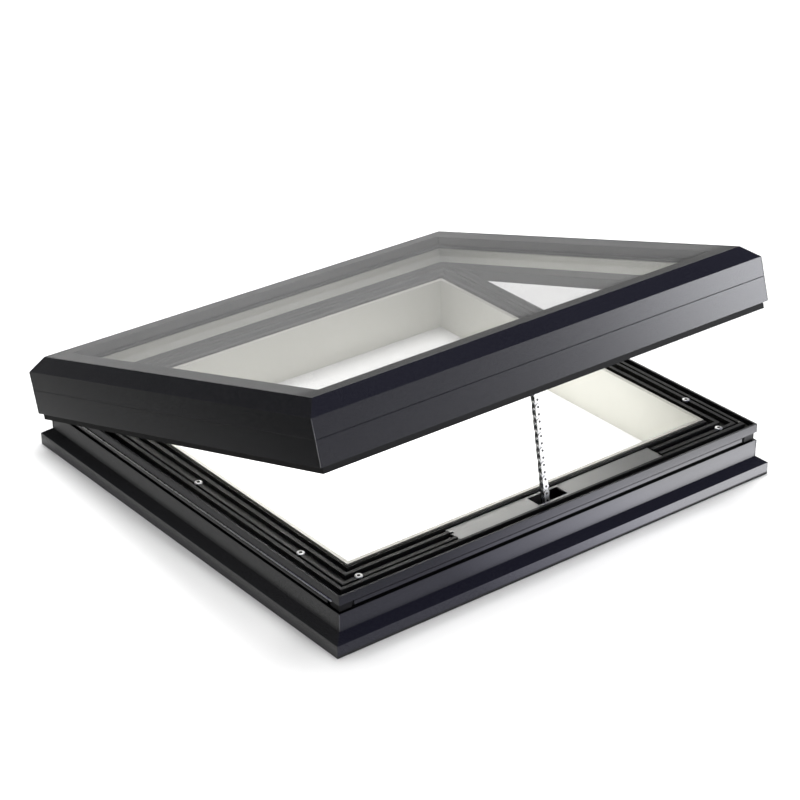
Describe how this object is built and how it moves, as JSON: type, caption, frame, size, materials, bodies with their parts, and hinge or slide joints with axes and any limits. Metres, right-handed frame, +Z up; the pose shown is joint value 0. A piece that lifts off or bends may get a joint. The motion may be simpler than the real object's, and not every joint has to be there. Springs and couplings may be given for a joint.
{
  "type": "roof skylight",
  "caption": "Flat-roof skylight with a bevelled double-glazed lid hinged at the rear of a kerb frame and held open by a motor-driven chain at the front.",
  "frame": {"origin": "centre of the footprint at the underside of the base frame, with the lid open", "axes": "+X along the hinge line, -Y towards the opening front, +Z up"},
  "size_m": [0.804, 0.7672, 0.3496],
  "materials": {
    "coated_aluminium": "anthracite powder coat",
    "black_plastic": "matte black",
    "white_lining": "satin white",
    "satin_aluminium": "satin anodised",
    "bright_steel": "bright zinc plated",
    "black_rubber": "matte black",
    "glass": "clear"
  },
  "bodies": {
    "base": {"base_profile_front": "coated_aluminium", "base_profile_left": "coated_aluminium", "base_profile_rear": "coated_aluminium", "base_profile_right": "coated_aluminium", "chain_guide": "black_plastic", "core_profile_front": "black_plastic", "core_profile_left": "black_plastic", "core_profile_rear": "black_plastic", "core_profile_right": "black_plastic", "corner_keys": "black_plastic", "drive_chain": "bright_steel", "front_strip": "coated_aluminium", "hinge_base_leaves": "bright_steel", "hinge_pins": "bright_steel", "liner_front": "white_lining", "liner_left": "white_lining", "liner_rear": "white_lining", "liner_right": "white_lining", "opener_cap_left": "black_plastic", "opener_cap_right": "black_plastic", "opener_cover": "satin_aluminium", "opener_housing": "satin_aluminium", "ribbed_top_front": "black_plastic", "ribbed_top_left": "black_plastic", "ribbed_top_rear": "black_plastic", "ribbed_top_right": "black_plastic", "top_rail_front": "coated_aluminium", "top_rail_left": "coated_aluminium", "top_rail_rear": "coated_aluminium", "top_rail_right": "coated_aluminium"},
    "lid": {"lining_front": "white_lining", "lining_left": "white_lining", "lining_rear": "white_lining", "lining_right": "white_lining", "lip_front": "black_rubber", "lip_left": "black_rubber", "lip_rear": "black_rubber", "lip_right": "black_rubber", "sash_front": "coated_aluminium", "sash_left": "coated_aluminium", "sash_rear": "coated_aluminium", "sash_right": "coated_aluminium", "skirt_front": "coated_aluminium", "skirt_left": "coated_aluminium", "skirt_rear": "coated_aluminium", "skirt_right": "coated_aluminium", "lid_seal": "black_rubber", "glazing_gasket": "black_rubber", "inner_pane": "glass", "outer_pane": "glass", "pane_spacer": "black_plastic", "hinge_lid_leaves": "bright_steel", "lid_bracket": "bright_steel", "pivot_pin": "bright_steel"},
    "chain_end": {"chain_end": "bright_steel"}
  },
  "joints": [
    {"name": "lid_hinge", "type": "hinge", "parent": "base", "child": "lid", "pos_m": [0, 0.35889, 0.068], "axis": [-1, 0, 0], "range_deg": [-17, 0], "deforming": ["drive_chain"]},
    {"name": "chain_end_pivot", "type": "hinge", "parent": "lid", "child": "chain_end", "pos_m": [0, -0.29808, 0.28088], "axis": [-1, 0, 0], "range_deg": [0, 7]}
  ],
  "couplings": [
    {"joint": "chain_end_pivot", "follows": "lid_hinge", "ratio": -0.3792}
  ]
}
